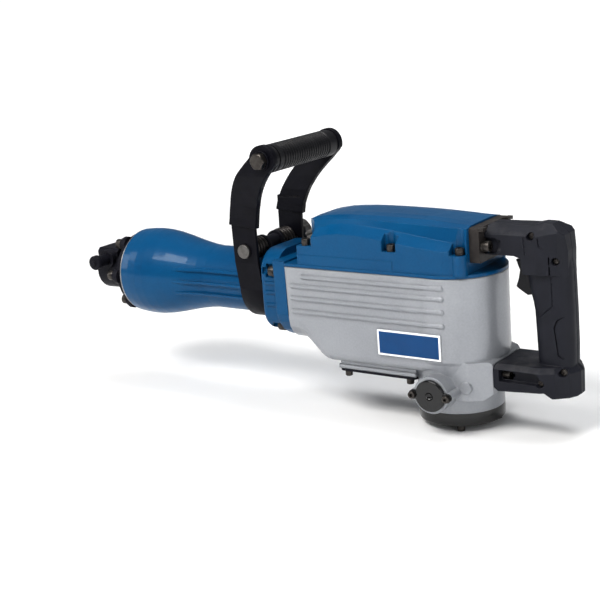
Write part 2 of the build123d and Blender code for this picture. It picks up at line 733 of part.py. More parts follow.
def lower_screws():
    """Screws of the bottom plate and of the motor's end ring."""
    short = Rot(180, 0, 0) * socket_screw(2.5, 4.4, 4.6, 15.0, washer=1.6)
    long = Rot(180, 0, 0) * socket_screw(2.5, 4.4, 5.0, 26.0, washer=2.4)
    screws = [Pos(x, y, PLATE_BOTTOM_Z - 1.6) * short for x, y in PLATE_SCREWS]
    screws += [Pos(MOTOR_X + x, y, END_RING_Z - 2.4) * long for x, y in ring_places(41.0, 4, 25.0)]
    return group(screws)


# ---------------------------------------------------------------- top cover

COVER_BASE = PARTING_Z + 0.8
COVER_LIP_Z = 40.0
COVER_WALL_Y = 56.5
COVER_SHOULDER_Y = 44.0
COVER_EDGE_Y = 41.0
COVER_BELT_Z = 51.8
COVER_BELT_END_X = 487.5
COVER_WALL = 5.0
# Heights along the cover: x, then line 3, line 2, the top edge and the crown
COVER_STATIONS = (
    (354.0, 67.0, 74.0, 84.0, 87.5),
    (366.0, 70.5, 77.5, 88.6, 92.8),
    (378.0, 73.4, 82.2, 92.0, 95.6),
    (416.0, 79.4, 89.3, 94.4, 98.9),
    (470.0, 75.1, 85.8, 94.1, 99.4),
    (525.0, 68.6, 78.8, 92.2, 97.9),
    (BRACKET[0], 64.4, 72.5, 90.4, 93.7),
)
# Plan of the raised part's rounded front, on the right side
COVER_FRONT_PLAN = ((357.0, 14.0), (362.0, 28.0), (375.5, 41.5), (378.5, 48.0), (379.0, 60.0))
COVER_LEDGE_X = 357.7
NOTCH_Z = 62.5
NOTCH_HALF = 9.0
NOTCH_BACK = 2.5


def cover_bolt_places():
    for x, y in COVER_BOLTS:
        yield x, -y
        yield x, y


def cover_plan(grow=0.0):
    """Plan outline: square in front, round over the motor."""
    half = CASE_HALF_WIDTH + grow
    face = Rectangle(MOTOR_X - CASE_FRONT, 2 * half)
    face = Pos((MOTOR_X + CASE_FRONT) / 2, 0) * face
    return face + Pos(MOTOR_X, 0) * Circle(MOTOR_R + grow)


def cover_heights(x):
    """Heights of the four cover lines at x, on smooth curves through the stations."""
    rows = COVER_STATIONS
    k = max(i for i in range(len(rows) - 1) if x >= rows[i][0] - 1e-6)
    before, low, high, after = rows[max(k - 1, 0)], rows[k], rows[k + 1], rows[min(k + 2, len(rows) - 1)]
    t = (x - low[0]) / (high[0] - low[0])
    heights = []
    for c in range(1, 5):
        slope_low = (high[c] - before[c]) / (high[0] - before[0]) * (high[0] - low[0])
        slope_high = (after[c] - low[c]) / (after[0] - low[0]) * (high[0] - low[0])
        a0 = 2 * t ** 3 - 3 * t ** 2 + 1
        heights.append(a0 * low[c] + (1 - a0) * high[c]
                       + (t ** 3 - 2 * t ** 2 + t) * slope_low + (t ** 3 - t ** 2) * slope_high)
    return heights


def raised_cover(shrink=0.0):
    """The raised part of the cover, as ruled strips between many cross-sections."""
    first, last = COVER_STATIONS[0][0], COVER_STATIONS[-1][0]
    steps = 14
    sections = []
    for k in range(steps + 1):
        x = first + (last - first) * k / steps
        z3, z2, z1, z0 = cover_heights(x)
        low = COVER_BASE - 1 if shrink else COVER_BASE
        right = [(COVER_WALL_Y - shrink, low), (COVER_WALL_Y - shrink, z3 - shrink),
                 (COVER_SHOULDER_Y - shrink, z2 - shrink), (COVER_EDGE_Y - shrink, z1 - shrink),
                 (30 - shrink, z1 + 0.64 * (z0 - z1) - shrink), (16, z0 - 0.7 - shrink)]
        loop = right + [(-y, z) for y, z in reversed(right)]
        sections.append(Plane.YZ.offset(x) * make_face(Polyline(*loop, close=True)))
    plan = Pos(0, 0, 20) * extrude(cover_plan(COVER_WALL_Y - CASE_HALF_WIDTH - shrink), 100)
    front = [(x + shrink, y) for x, y in COVER_FRONT_PLAN] + [(620, 60)]
    return loft(sections, ruled=True) & plan & plan_prism(front, 20, 120)


def bolt_pillar(x, y, back, half, z0, z1):
    """Upright block at a cover bolt, from a little inside its axis to beyond the wall."""
    side = 1 if y > 0 else -1
    return block(x - half, x + half, y - side * back, side * 70, z0, z1)


def top_cover():
    body = Pos(0, 0, COVER_BASE) * extrude(cover_plan(), COVER_LIP_Z - COVER_BASE)
    belt = Pos(0, 0, COVER_LIP_Z - 1) * extrude(cover_plan(-0.9), COVER_BELT_Z - COVER_LIP_Z + 1)
    body += belt & block(COVER_LEDGE_X, COVER_BELT_END_X, -70, 70, 30, 60)
    body += raised_cover()
    body += block(COVER_LEDGE_X, 392, -COVER_WALL_Y, COVER_WALL_Y, COVER_LIP_Z - 1, NOTCH_Z)
    body += cyl_z(8.6, COVER_LIP_Z - 1, NOTCH_Z, *COVER_BOLTS[-1])
    body += cyl_z(8.6, COVER_LIP_Z - 1, NOTCH_Z, COVER_BOLTS[-1][0], -COVER_BOLTS[-1][1])
    # Gear chamber inside, with a solid pillar left at every bolt
    chamber = raised_cover(COVER_WALL) & block(358, 571, -60, 60, 20, 120)
    for x, y in cover_bolt_places():
        chamber -= bolt_pillar(x, y, NOTCH_BACK + 7.0, NOTCH_HALF + 3.0, 20, 120)
    body -= chamber
    # Open notches for the bolt heads
    for x, y in cover_bolt_places():
        body -= bolt_pillar(x, y, NOTCH_BACK, NOTCH_HALF, NOTCH_Z, 120)
        body -= cyl_z(5.8, NOTCH_Z, 110, x, y)
        body -= cyl_z(3.3, 30, 70, x, y)
    # Bearing seats hanging from the roof
    for x, outer in ((CRANK_X, 21.0), (GEAR_X, 13.0)):
        body += cyl_z(outer + 4.0, 61.5, 95.5, x) - cyl_z(outer + 0.01, 50, 70, x)
    # Threaded holes for the handle bracket
    for y, z in BRACKET_BOLTS:
        body -= cyl_x(4.1, 560, 580, y, z)
    return body


BRACKET_BOLTS = ((-29.5, 70.0), (29.5, 70.0))


def cover_gasket():
    sheet = Pos(0, 0, PARTING_Z + 0.05) * extrude(cover_plan(-0.6), COVER_BASE - PARTING_Z - 0.1)
    sheet -= block(363, 480, -42, 42, 30, 40)
    sheet -= cyl_z(51.0, 30, 40, MOTOR_X)
    for x, y in cover_bolt_places():
        sheet -= cyl_z(3.4, 30, 40, x, y)
    return sheet


def casing_gaskets():
    return group([cover_gasket(), bottom_gasket()])


def cover_bolts():
    screw = socket_screw(3.0, 5.2, 6.0, 42.0, washer=2.0)
    return group([Pos(x, y, NOTCH_Z + 2.0) * screw for x, y in cover_bolt_places()])


def name_plate():
    """Blank plate on the raised pad of the left wall."""
    pad_gap = 0.5
    plate = block(NAME_X[0] + pad_gap, NAME_X[1] - pad_gap, -NAME_PAD_Y - 1.2, -NAME_PAD_Y - FIT,
                  NAME_Z[0] + pad_gap, NAME_Z[1] - pad_gap)
    return fillet(plate.edges().filter_by(Axis.Y), 1.0)


# ---------------------------------------------------------------- rear handle

ARM_HALF = 25.0
GRIP_HALF = 18.0
FOOT_HALF = 35.0
# x, z and seat depth of each handle screw
HANDLE_SCREWS = ((641.5, 82.0, 17.5), (667.5, 55.5, 14.5), (675.0, -67.5, 18.5), (652.5, -79.5, 28.0))
TRIGGER_PIVOT = (636.5, 47.5)
CABLE_X = 674.0
FOOT_SEAT_X = 606.0
CABLE_R = 5.0


def handle_bracket():
    plate = block(*BRACKET, -37.5, 37.5, 51.7, 91.0)
    plate = fillet(plate.edges().filter_by(Axis.X), 2.5)
    rim = block(BRACKET[1] - 0.5, BRACKET[1] + 5, -37.5, 37.5, 87.5, 91.0)
    plate += rim - block(580, 600, -26.5, 26.5, 80, 100)
    for y, z in BRACKET_BOLTS:
        plate -= cyl_x(4.3, 560, 600, y, z)
    return plate


def upper_arm():
    """Arm from the bracket to the grip, with long chamfers along its top and a tapered rear end."""
    outline = [(BRACKET[1] + 0.1, 91.3), (640, 92.4), (649, 94.8), (661, 94.4), (676.5, 84), (679.0, 66),
               (679.0, 40), (632, 40), (629, 57.5), (622, 60.0), (BRACKET[1] + 0.1, 60.0)]
    arm = side_profile(outline, -ARM_HALF, ARM_HALF)
    arm &= cross_profile([(-ARM_HALF, 30), (-ARM_HALF, 82.5), (-8, 95.4), (8, 95.4), (ARM_HALF, 82.5),
                          (ARM_HALF, 30)], BRACKET[1], 700)
    return arm & plan_prism([(BRACKET[1], ARM_HALF), (648, ARM_HALF), (670, 19.5), (681, 10)], 30, 100)


def handle_grip():
    front = [(628, 57), (629.5, 42), (631.5, 24), (635.5, 8), (637.4, -3), (638.9, -36), (640.5, -64)]
    back = [(682.3, -64), (682.8, -41), (682.3, -2), (680.5, 45), (678.0, 64)]
    return side_profile(front + back, -GRIP_HALF, GRIP_HALF)


def handle_foot():
    """Foot of the handle: a straight front half, a rounded nose and a deeper rear end for the cable."""
    plan = [(FOOT_FACE_X, FOOT_HALF), (652, FOOT_HALF), (668, 29), (681, 19), (688.5, 5)]
    foot = plan_prism(plan, -100, -62)
    top = [e for e in foot.faces().sort_by(Axis.Z)[-1].edges() if e.center().X > FOOT_FACE_X + 1]
    foot = chamfer(top, 6.0)
    outline = [(FOOT_FACE_X + 0.1, -65), (600, -62), (700, -62), (700, -90), (684, -96.5), (664, -96.5),
               (656, -90), (602, -93.5), (FOOT_FACE_X + 0.1, -89.5)]
    return foot & side_profile(outline, -FOOT_HALF, FOOT_HALF)


def seam(points, side, half, depth=1.2, width=1.3):
    """A thin groove along a chain of (x, z) points in a side face."""
    groove = None
    for (x0, z0), (x1, z1) in zip(points, points[1:]):
        run = sqrt((x1 - x0) ** 2 + (z1 - z0) ** 2)
        dx = (x1 - x0) / run * width / 2
        dz = (z1 - z0) / run * width / 2
        quad = [(x0 - dx - dz, z0 - dz + dx), (x1 + dx - dz, z1 + dz + dx),
                (x1 + dx + dz, z1 + dz - dx), (x0 - dx + dz, z0 - dz - dx)]
        bar = side_profile(quad, half - depth, half + 5)
        if side < 0:
            bar = mirror_y(bar)
        groove = bar if groove is None else groove + bar
    return groove


def handle_body():
    arm = upper_arm()
    grip = handle_grip()
    side_edges = grip.faces().sort_by(Axis.Y)[0].edges() + grip.faces().sort_by(Axis.Y)[-1].edges()
    grip = fillet([e for e in side_edges if abs((e @ 1 - e @ 0).Z) > 5], 14.0)
    foot = handle_foot()
    foot = fillet([e for e in foot.edges() if e.center().X > FOOT_FACE_X + 2], 1.6)
    body = arm + grip + foot
    # Recesses beside the arm for the bracket bolts
    for side in (-1, 1):
        y0, y1 = side * 21.0, side * 40
        body -= block(580, 602, y0, y1, 61.8, 78.2)
        body -= cyl_x(8.0, 600, 607, side * 29.5, 70)
        # Long pocket and bolt recess in the foot
        y0, y1 = side * 27.0, side * 40
        pocket = block(604, 645.5, y0, y1, FOOT_BOLT_Z - 6.5, FOOT_BOLT_Z + 6.5)
        pocket += cyl_y(6.5, y0, y1, 645.5, FOOT_BOLT_Z)
        body -= pocket
        for x, z, seat in HANDLE_SCREWS:
            body -= cyl_y(4.2, side * seat, side * 40, x, z)
        body -= seam([(633.5, 81), (635, 62)], side, ARM_HALF)
        body -= seam([(650, 80), (651, 72), (654.5, 69), (667, 68)], side, ARM_HALF, depth=2.2)
        body -= seam([(661, 60), (662.5, 5), (643, -11)], side, GRIP_HALF)
        lower_seam = [(679, -3), (667, -11), (664, -19), (668, -50), (674, -53.5)]
        body -= seam(lower_seam, side, GRIP_HALF, depth=2.0)
    return body


def handle_cavity():
    cavity = block(592, 668, -17, 17, 64, 84)
    cavity += block(640, 674, -14, 14, 24, 66)
    cavity += block(655, 675, -12, 12, -75, 30)
    cavity += block(622, 672, -20, 20, -86, -67)
    cavity += cyl_z(10.2, -88, -67, CABLE_X)
    # Slot for the trigger
    cavity += block(600, 634, -8.2, 8.2, 8, 62)
    cavity += block(632, 652, -8.2, 8.2, 8, 56)
    return cavity


def handle_shell(side):
    """Left half for side -1 and right half for side +1, with a fine parting gap."""
    body = handle_body() - handle_cavity()
    body -= cyl_z(8.0, -100, -84, CABLE_X)
    body -= cyl_y(2.55, -11.6, 11.6, *TRIGGER_PIVOT)
    for x, z, seat in HANDLE_SCREWS:
        body += cyl_y(5.4, -seat, seat, x, z)
        body -= cyl_y(2.1, -seat - 2, seat - 2, x, z)
    for end in (-1, 1):
        body -= cyl_x(3.4, 585, 620, end * FOOT_BOLT_Y, FOOT_BOLT_Z)
        body -= cyl_x(6.2, FOOT_SEAT_X, FOOT_SEAT_X + 12, end * FOOT_BOLT_Y, FOOT_BOLT_Z)
    return body & block(580, 700, side * 0.1, side * 60, -120, 120)


def handle_screws():
    screw = Rot(90, 0, 0) * pan_screw(2.0, 3.8, 3.0, 24.0)
    return group([Pos(x, -seat, z) * screw for x, z, seat in HANDLE_SCREWS])


def handle_bolts():
    """Two cap screws through the bracket and two through the foot."""
    upper = Rot(0, 90, 0) * socket_screw(4.0, 6.2, 7.5, 32.0, washer=2.2)
    lower = Rot(0, 90, 0) * socket_screw(3.0, 5.2, 6.0, 24.0, washer=2.0)
    screws = [Pos(BRACKET[1] + 2.3, y, z) * upper for y, z in BRACKET_BOLTS]
    screws += [Pos(FOOT_SEAT_X + 2.0, side * FOOT_BOLT_Y, FOOT_BOLT_Z) * lower for side in (-1, 1)]
    return group(screws)


def trigger():
    """Rocking trigger on a pin near its top, inside the handle's slot."""
    outline = [(616, 52), (641, 52), (645, 48), (645, 16), (629, 12.5), (618, 19.5), (615.5, 21.5),
               (618.5, 30), (620.5, 40)]
    body = side_profile(outline, -7.6, 7.6)
    sides = body.faces().sort_by(Axis.Y)
    body = fillet(sides[0].edges() + sides[-1].edges(), 1.05)
    return body - cyl_y(2.55, -10, 10, *TRIGGER_PIVOT)


def trigger_pin():
    return cyl_y(2.5, -11.5, 11.5, *TRIGGER_PIVOT)


def trigger_switch():
    body = block(655.2, 672, -11, 11, 12, 49.5)
    body = chamfer(body.edges(), 1.0)
    body += cyl_x(2.6, 648.5, 656, 0, 32)
    return body


def cable_bush():
    """Flush grommet in the bottom of the handle, with an open bore for the mains cable."""
    return turned_z([(CABLE_R, -98.6), (9.0, -98.6), (10.0, -97.8), (10.0, -96.6), (7.9, -96.6),
                     (7.9, -87.9), (10.0, -87.9), (10.0, -86), (CABLE_R, -86)], CABLE_X)


# ---------------------------------------------------------------- side handle

STRAP_X = (259.0, 294.0)
STRAP_KNEE_Z = 34.0
STRAP_TOP_Z = 100.0
STRAP_LEAN = 1.6
GAP = 0.03
ARM_THICK = 8.0
RIB_COUNT = 19
RIB_PITCH = 4.9


def clamp_band():
    """U-shaped strap that hugs the barrel from below."""
    inner = BARREL_R + 0.3
    outer = inner + STRAP_THICK
    band = cyl_x(outer, *STRAP_X) & block(*STRAP_X, -80, 80, -80, 0)
    legs = []
    for side in (-1, 1):
        leg = cross_profile([(side * inner, -0.1), (side * outer, -0.1), (side * STRAP_Y, STRAP_KNEE_Z),
                             (side * (STRAP_Y + STRAP_LEAN), STRAP_TOP_Z),
                             (side * (STRAP_Y - STRAP_THICK + STRAP_LEAN), STRAP_TOP_Z),
                             (side * (STRAP_Y - STRAP_THICK), STRAP_KNEE_Z)], *STRAP_X)
        legs.append(leg)
    band = band + legs[0] + legs[1]
    band -= cyl_x(inner, 250, 300)
    band -= cyl_y(5.3, -70, 70, CLAMP_X, CLAMP_Z)
    return band


def arm_blank():
    """Side view of a handle arm, as an extruded outline."""
    front = Spline((257.2, 82), (266, 110), (280, 135), (296, 153.5), (311.5, 168))
    tip = ThreePointArc((311.5, 168), (333, 182.4), (346.5, 160))
    back = Spline((346.5, 160), (334.5, 147.5), (316, 126.5), (303.5, 104), (296.8, 78))
    foot = Line((296.8, 78), (257.2, 82))
    face = Plane.XZ * make_face(front + tip + back + foot)
    return Pos(0, 90, 0) * extrude(face, 180, dir=(0, -1, 0))


def arm_bend(side):
    """End view of a handle arm: it leaves the strap and flares out to the grip."""
    middle = [(49.0, 70), (49.6, 90), (53.5, 108), (59.5, 124), (65.5, 138), (68.6, 146), (69.0, 150),
              (69.0, 186)]
    half = ARM_THICK / 2
    outline = [(side * (y + half), z) for y, z in middle]
    outline += [(side * (y - half), z) for y, z in reversed(middle)]
    return cross_profile(outline, 240, 360)


def handle_arm(side):
    arm = arm_blank() & arm_bend(side)
    slot = [(side * (STRAP_Y + GAP), STRAP_KNEE_Z), (side * (STRAP_Y + STRAP_LEAN + GAP), STRAP_TOP_Z + GAP),
            (side * (STRAP_Y - STRAP_THICK + STRAP_LEAN - GAP), STRAP_TOP_Z + GAP),
            (side * (STRAP_Y - STRAP_THICK - GAP), STRAP_KNEE_Z)]
    arm -= cross_profile(slot, STRAP_X[0] - GAP, STRAP_X[1] + GAP)
    arm -= cyl_y(6.3, -90, 90, GRIP_X, GRIP_Z)
    return arm


def grip_sleeve():
    """Ribbed sleeve between plain collars."""
    profile = [(-64.2, 6.1), (-64.2, 16.6), (-59.4, 16.6), (-59.4, 15.2), (-57.0, 15.2), (-57.0, 16.6),
               (-49.0, 16.6), (-48.0, 14.8)]
    for k in range(RIB_COUNT):
        y = (k - (RIB_COUNT - 1) / 2) * RIB_PITCH
        profile += [(y - 2.0, 14.8), (y - 1.1, 16.6), (y + 1.1, 16.6), (y + 2.0, 14.8)]
    profile += [(48.0, 14.8), (49.0, 16.6), (64.2, 16.6), (64.2, 6.1)]
    face = Plane.XY * make_face(Polyline(*[(r, y) for y, r in profile], close=True))
    return Pos(GRIP_X, 0, GRIP_Z) * revolve(face, Axis.Y)


def grip_bolt():
    bolt = Rot(90, 0, 0) * hex_bolt(6.0, 18.0, 7.5, 150.0)
    return Pos(GRIP_X, -76.0, GRIP_Z) * bolt


def grip_washers():
    left = cyl_y(11.5, -75.9, -73.2, GRIP_X, GRIP_Z) - cyl_y(6.2, -80, -60, GRIP_X, GRIP_Z)
    nut = cyl_y(15.5, 73.2, 76.0, GRIP_X, GRIP_Z) - cyl_y(6.2, 60, 90, GRIP_X, GRIP_Z)
    return group([left, nut])


def clamp_bolt():
    bolt = cyl_y(5.0, -STRAP_Y - 2, 74, CLAMP_X, CLAMP_Z)
    head = cyl_y(8.8, -STRAP_Y - 4.4, -STRAP_Y - 0.8, CLAMP_X, CLAMP_Z)
    head = fillet(head.edges().group_by(Axis.Y)[0], 1.2)
    return bolt + head


def clamp_knob():
    """Round clamping knob on the right end of the clamp bolt."""
    face = Plane.YZ * make_face(Polyline(
        (53.0, 0), (53.0, 13), (56, 13), (58.5, 17), (71, 17), (76.5, 12.5), (79, 5), (79, 0), close=True))
    knob = Pos(CLAMP_X, 0, CLAMP_Z) * revolve(face, Axis.Y)
    for x, z in ring_places(19.2, 8):
        knob -= cyl_y(4.0, 50, 74, CLAMP_X + x, CLAMP_Z + z)
    return knob - cyl_y(5.0 + FIT, 40, 74.2, CLAMP_X, CLAMP_Z)


def clamp_springs():
    spring = coil(11.6, 2.0, 5.4, 4)
    left = Pos(CLAMP_X, -20.5, CLAMP_Z) * Rot(90, 0, 0) * spring
    return group([left, mirror_y(left)])


def clamp_saddle():
    """Spool-shaped rest on the barrel that carries the clamp bolt."""
    body = cyl_y(9.5, -16.5, 16.5, CLAMP_X, CLAMP_Z)
    for side in (-1, 1):
        body += cyl_y(13.0, side * 12.0, side * 16.5, CLAMP_X, CLAMP_Z)
    body += block(CLAMP_X - 11, CLAMP_X + 11, -16.5, 16.5, 34, CLAMP_Z - 5)
    body -= cyl_x(BARREL_R + 0.3, 250, 300)
    return body - cyl_y(5.0 + 0.2, -30, 30, CLAMP_X, CLAMP_Z)


# ---------------------------------------------------------------- all parts

PARTS = {
    "nose_housing": nose_housing, "nose_seal": nose_seal, "barrel_bolts": barrel_bolts,
    "lock_bolt": lock_bolt, "lock_washer": lock_washer, "lock_spring": lock_spring,
    "barrel_case": barrel_case, "guide_bushes": guide_bushes, "damper_ring": damper_ring,
    "impact_bolt": impact_bolt, "guide_cylinder": guide_cylinder, "cylinder_seals": cylinder_seals,
    "striker": striker_with_ring, "piston": piston_with_ring, "connecting_rod": connecting_rod,
    "rod_bearing": rod_bearing, "wrist_pin": wrist_pin, "crankshaft": crankshaft,
    "crank_gear": crank_gear, "intermediate_shaft": intermediate_shaft, "ball_bearings": ball_bearings,
    "armature_shaft": armature_shaft, "armature_core": armature_core, "commutator": commutator,
    "fan": fan, "stator_core": stator_core, "field_coils": field_coils, "bearing_plate": bearing_plate,
    "brush_holders": brush_holders, "carbon_brushes": carbon_brushes, "brush_springs": brush_springs,
    "brush_caps": brush_caps, "brush_cap_screws": brush_cap_screws, "end_ring": end_ring,
    "lower_screws": lower_screws, "main_casting": main_casting, "bottom_plate": bottom_plate,
    "top_cover": top_cover, "casing_gaskets": casing_gaskets, "cover_bolts": cover_bolts,
    "name_plate": name_plate, "handle_bracket": handle_bracket, "handle_bolts": handle_bolts,
    "handle_left": lambda: handle_shell(-1), "handle_right": lambda: handle_shell(1),
    "handle_screws": handle_screws, "trigger": trigger, "trigger_pin": trigger_pin,
    "trigger_switch": trigger_switch, "cable_bush": cable_bush, "clamp_band": clamp_band,
    "arm_left": lambda: handle_arm(-1), "arm_right": lambda: handle_arm(1),
    "grip_sleeve": grip_sleeve, "grip_bolt": grip_bolt, "grip_washers": grip_washers,
    "clamp_bolt": clamp_bolt, "clamp_knob": clamp_knob, "clamp_springs": clamp_springs,
    "clamp_saddle": clamp_saddle,
}

for part_name, make_part in PARTS.items():
    save(make_part(), part_name)
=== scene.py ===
import json
import math

import bpy
from mathutils import Matrix, Vector


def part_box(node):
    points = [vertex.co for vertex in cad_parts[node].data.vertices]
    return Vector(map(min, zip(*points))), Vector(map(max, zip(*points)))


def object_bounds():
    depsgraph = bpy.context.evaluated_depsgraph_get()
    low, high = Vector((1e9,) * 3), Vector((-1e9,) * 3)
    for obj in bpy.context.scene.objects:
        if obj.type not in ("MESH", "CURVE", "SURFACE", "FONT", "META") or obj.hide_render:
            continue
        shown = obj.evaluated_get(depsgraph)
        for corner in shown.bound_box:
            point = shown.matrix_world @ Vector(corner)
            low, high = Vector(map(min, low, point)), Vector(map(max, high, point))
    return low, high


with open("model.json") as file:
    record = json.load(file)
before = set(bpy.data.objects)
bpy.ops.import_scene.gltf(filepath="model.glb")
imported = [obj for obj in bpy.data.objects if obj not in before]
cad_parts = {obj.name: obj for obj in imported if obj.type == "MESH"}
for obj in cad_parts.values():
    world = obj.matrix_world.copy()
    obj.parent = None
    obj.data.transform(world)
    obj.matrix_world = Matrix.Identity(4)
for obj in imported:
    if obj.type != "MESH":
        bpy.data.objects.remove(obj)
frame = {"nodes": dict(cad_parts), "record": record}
cad_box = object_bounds()
nodes = frame["nodes"]

MM = 0.001

WELD_DISTANCE = 0.002 * MM
HANDLE_SKIN_VOXEL = 0.5 * MM
HANDLE_SKIN_PASSES = 2

# cosine between the true and the rounded normal, on an open face and on a sharp edge
FACE_COSINE = 0.985
EDGE_COSINE = 0.80

PLATE_RIM = 2.0 * MM
PLATE_RIM_SOFTNESS = 0.1 * MM

CAMERA_PLACE = Vector((1.2233, -1.2587, 0.3788))
CAMERA_RIGHT = Vector((0.820161, 0.567290, -0.074277))
CAMERA_UP = Vector((-0.083508, 0.247132, 0.965377))
CAMERA_LENS = 77.22
CAMERA_SENSOR = 36.0
CAMERA_NEAR = 0.05

FLOOR_HALF = 30.0
FLOOR_GAP = 0.2 * MM
FLOOR_GLOW_START = 0.7
FLOOR_GLOW_FULL = 2.4
FLOOR_GLOW = 0.75

SKY_GLOW = 0.24
BACKDROP_GLOW = 1.0
SKY_COLOUR = (0.96, 0.98, 1.0, 1.0)
EXPOSURE = 0.14
GAMMA = 0.87

# name, place, aim, width, height, watts, colour
SOFTBOXES = (
    ("key", (0.1, -1.5, 1.9), (0.35, 0.0, 0.0), 1.5, 0.9, 56.0, (1.0, 0.985, 0.96)),
    ("side", (2.1, -0.9, 0.55), (0.55, 0.0, -0.02), 0.35, 1.3, 9.0, (0.97, 0.985, 1.0)),
    ("front", (-1.6, -1.0, 0.8), (0.1, 0.0, 0.0), 0.5, 1.2, 9.0, (1.0, 1.0, 1.0)),
    ("top", (0.5, 0.5, 2.1), (0.35, 0.0, 0.0), 1.5, 0.8, 28.0, (1.0, 1.0, 1.0)),
)


# ---------------------------------------------------------------- material helper

class Surface:
    """Builds one node material from small layered patterns in the object's own metres."""

    def __init__(self, name):
        self.material = bpy.data.materials.new(name)
        self.material.use_nodes = True
        self.tree = self.material.node_tree
        self.shader = self.tree.nodes["Principled BSDF"]
        self.place = self.tree.nodes.new("ShaderNodeTexCoord").outputs["Object"]
        self.bump_output = None

    def link(self, source, target):
        self.tree.links.new(source, target)

    def node(self, kind, **settings):
        made = self.tree.nodes.new(kind)
        for key, value in settings.items():
            setattr(made, key, value)
        return made

    def stretched(self, stretch):
        mapping = self.node("ShaderNodeMapping")
        mapping.inputs["Scale"].default_value = stretch
        self.link(self.place, mapping.inputs["Vector"])
        return mapping.outputs["Vector"]

    def noise(self, scale, detail=3.0, rough=0.55, stretch=None):
        made = self.node("ShaderNodeTexNoise")
        made.inputs["Scale"].default_value = scale
        made.inputs["Detail"].default_value = detail
        made.inputs["Roughness"].default_value = rough
        self.link(self.stretched(stretch) if stretch else self.place, made.inputs["Vector"])
        return made.outputs["Fac"]

    def cells(self, scale):
        made = self.node("ShaderNodeTexVoronoi")
        made.inputs["Scale"].default_value = scale
        self.link(self.place, made.inputs["Vector"])
        return made.outputs["Distance"]

    def remap(self, value, low, high, to_low=0.0, to_high=1.0):
        """Spreads the range low to high of a pattern over to_low to to_high."""
        made = self.node("ShaderNodeMapRange", clamp=True)
        made.inputs["From Min"].default_value = low
        made.inputs["From Max"].default_value = high
        made.inputs["To Min"].default_value = to_low
        made.inputs["To Max"].default_value = to_high
        self.link(value, made.inputs["Value"])
        return made.outputs["Result"]

    def maths(self, operation, a, b, clamp=True):
        made = self.node("ShaderNodeMath", operation=operation, use_clamp=clamp)
        for value, target in ((a, made.inputs[0]), (b, made.inputs[1])):
            if isinstance(value, (int, float)):
                target.default_value = value
            else:
                self.link(value, target)
        return made.outputs["Value"]

    def mix(self, factor, a, b):
        made = self.node("ShaderNodeMix", data_type="RGBA")
        if isinstance(factor, (int, float)):
            made.inputs["Factor"].default_value = factor
        else:
            self.link(factor, made.inputs["Factor"])
        for value, target in ((a, made.inputs["A"]), (b, made.inputs["B"])):
            if isinstance(value, tuple):
                target.default_value = (*value, 1.0)
            else:
                self.link(value, target)
        return made.outputs["Result"]

    def edges(self, radius, amount=1.0):
        """1 on edges and 0 on open faces, from the difference of a rounded normal."""
        bevel = self.node("ShaderNodeBevel", samples=4)
        bevel.inputs["Radius"].default_value = radius
        geometry = self.node("ShaderNodeNewGeometry")
        dot = self.node("ShaderNodeVectorMath", operation="DOT_PRODUCT")
        self.link(bevel.outputs["Normal"], dot.inputs[0])
        self.link(geometry.outputs["Normal"], dot.inputs[1])
        return self.remap(dot.outputs["Value"], FACE_COSINE, EDGE_COSINE, 0.0, amount)

    def round_edges(self, radius):
        """Shades every sharp edge as if it had a small cast or moulded radius."""
        bevel = self.node("ShaderNodeBevel", samples=6)
        bevel.inputs["Radius"].default_value = radius
        self.bump_output = bevel.outputs["Normal"]

    def bump(self, height, strength, distance):
        """Adds one layer of relief on top of the layers before it."""
        made = self.node("ShaderNodeBump")
        made.inputs["Strength"].default_value = strength
        made.inputs["Distance"].default_value = distance
        self.link(height, made.inputs["Height"])
        if self.bump_output is not None:
            self.link(self.bump_output, made.inputs["Normal"])
        self.bump_output = made.outputs["Normal"]
        self.link(self.bump_output, self.shader.inputs["Normal"])

    def set(self, **values):
        """Sets the shader's inputs, with _ in the names for a space."""
        for key, value in values.items():
            socket = self.shader.inputs[key.replace("_", " ")]
            if isinstance(value, (int, float)):
                socket.default_value = value
            elif isinstance(value, tuple):
                socket.default_value = (*value, 1.0)
            else:
                self.link(value, socket)


def scaled(colour, gain, lift=0.0):
    return tuple(min(1.0, c * gain + lift) for c in colour)


def dust_amount(surface, low=0.55, high=0.8):
    """Faint dust in patches, on surfaces that face up."""
    geometry = surface.node("ShaderNodeNewGeometry")
    split = surface.node("ShaderNodeSeparateXYZ")
    surface.link(geometry.outputs["Normal"], split.inputs["Vector"])
    up = surface.remap(split.outputs["Z"], 0.2, 1.0)
    patch = surface.remap(surface.noise(38.0, 5.0, 0.65), low, high)
    return surface.maths("MULTIPLY", up, patch)


# ---------------------------------------------------------------- materials

